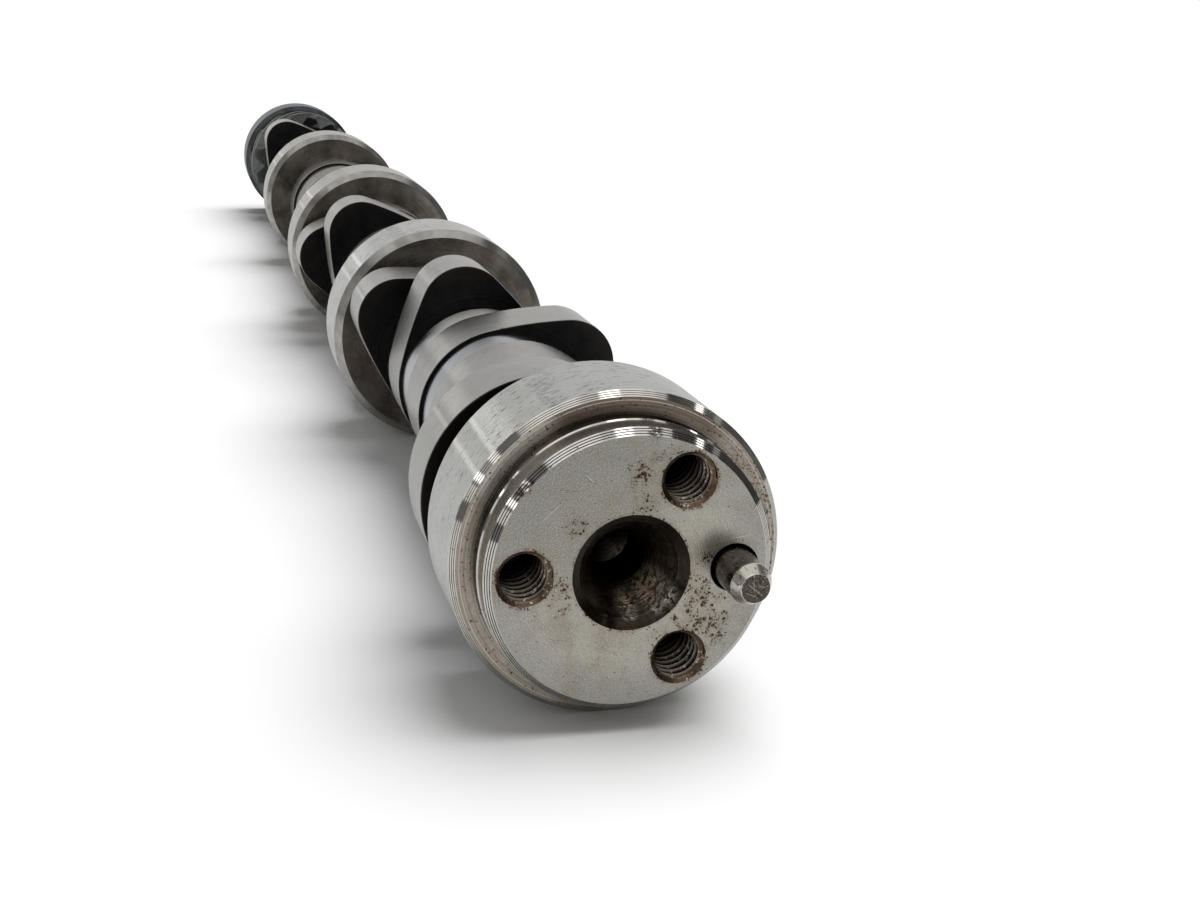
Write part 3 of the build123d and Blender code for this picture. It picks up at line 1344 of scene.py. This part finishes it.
# Matt white paper
floor_paper = bpy.data.materials.new("matt_white_paper")
floor_paper.use_nodes = True
paper = floor_paper.node_tree.nodes["Principled BSDF"]
paper.inputs["Base Color"].default_value = paint("#f9f9f9")
paper.inputs["Roughness"].default_value = 1.0
paper.inputs["Specular IOR Level"].default_value = 0.0
floor.data.materials.append(floor_paper)

# Pale studio: the camera and the metal see it white, and it fills the shadows more weakly
world = bpy.data.worlds.new("pale_studio")
bpy.context.scene.world = world
world.use_nodes = True
sky = world.node_tree
ray = add_node(sky, "ShaderNodeLightPath").node.outputs
seen = add_node(
    sky, "ShaderNodeMath", {0: ray["Is Camera Ray"], 1: ray["Is Glossy Ray"]}, operation="ADD"
)
seen = add_node(
    sky, "ShaderNodeMath", {0: seen, 1: ray["Is Transmission Ray"]}, operation="ADD", use_clamp=True
)
strength = add_node(sky, "ShaderNodeMapRange", {"Value": seen, "To Min": 0.3, "To Max": 1.0})
sky.nodes["Background"].inputs["Color"].default_value = (1, 1, 1, 1)
sky.links.new(strength, sky.nodes["Background"].inputs["Strength"])

# One wide lamp from the right casts the soft shadow to the left
key = bpy.data.lights.new("wide_key", "SUN")
key.energy = 2.66
key.angle = radians(52)
key_holder = bpy.data.objects.new("wide_key", key)
bpy.context.scene.collection.objects.link(key_holder)
key_direction = Vector((0.3, 0.08, 0.92))
key_holder.rotation_euler = key_direction.to_track_quat("Z", "Y").to_euler()
key_holder.visible_glossy = False


def studio_panel(name, azimuth, elevation, width, height, brightness, reach=1.2):
    """Flat panel of the studio that only the polished steel mirrors. Its direction and size
    are in degrees as seen from the nose, its brightness is a share of the white background"""
    across, up = radians(azimuth), radians(elevation)
    direction = Vector((cos(across) * cos(up), sin(across) * cos(up), sin(up)))
    bpy.ops.object.select_all(action="DESELECT")
    bpy.ops.mesh.primitive_plane_add(
        size=1, location=direction * reach, rotation=direction.to_track_quat("Z", "Y").to_euler()
    )
    panel = bpy.context.object
    panel.name = name
    panel.scale = (2 * reach * tan(radians(width / 2)), 2 * reach * tan(radians(height / 2)), 1)
    settle(panel)
    cloth = bpy.data.materials.new(name + "_cloth")
    cloth.use_nodes = True
    tree = cloth.node_tree
    glow = add_node(tree, "ShaderNodeEmission", {"Strength": brightness})
    tree.links.new(glow, tree.nodes["Material Output"].inputs["Surface"])
    panel.data.materials.append(cloth)
    panel.visible_camera = False
    panel.visible_diffuse = False
    panel.visible_shadow = False


# Dark screens beside and in front of the shaft, with small bright panels before them
screen_reach = 1.5
studio_panels = (
    ("left_screen", -160, 22, 60, 50, 0.22, screen_reach),
    ("front_screen", -80, 3, 110, 10, 0.3, screen_reach),
    ("right_screen", -2, 27, 60, 54, 0.09, screen_reach),
    ("left_low_panel", -162, 13, 24, 8, 1.05),
    ("left_window", -159, 21, 14, 4, 3.2),
    ("left_grey_panel", -158, 26.5, 14, 5, 0.6),
    ("left_high_window", -156, 32, 12, 5, 1.8),
    ("right_grey_panel", -2, 30, 14, 3.5, 0.55),
    ("right_window", -6, 39, 14, 3.5, 3.4),
    ("left_ceiling_panel", -126, 60, 27, 24, 1.35),
    ("right_ceiling_panel", -33, 64, 14, 14, 1.35),
    ("ceiling_window", -61, 71, 9, 6, 3.4),
    ("back_window", 108, 15, 3, 12, 3.2),
    ("low_back_window", 113, 5.5, 2, 7, 2.2),
)
for panel in studio_panels:
    studio_panel(*panel)

camera_place = Vector((-0.058285, -0.176954, 0.072647))
camera_right = Vector((0.96093, -0.27266, 0.04767))
camera_up = Vector((0.03430, 0.28821, 0.95695))
lens = bpy.data.cameras.new("camera")
lens.sensor_width = 36
lens.sensor_fit = "HORIZONTAL"
lens.lens = 44.61
lens.clip_start = 0.01
camera = bpy.data.objects.new("camera", lens)
bpy.context.scene.collection.objects.link(camera)
turned = Matrix((camera_right, camera_up, camera_right.cross(camera_up))).transposed()
camera.matrix_world = Matrix.Translation(camera_place) @ turned.to_4x4()
bpy.context.scene.camera = camera
bpy.context.scene.view_settings.view_transform = "Standard"
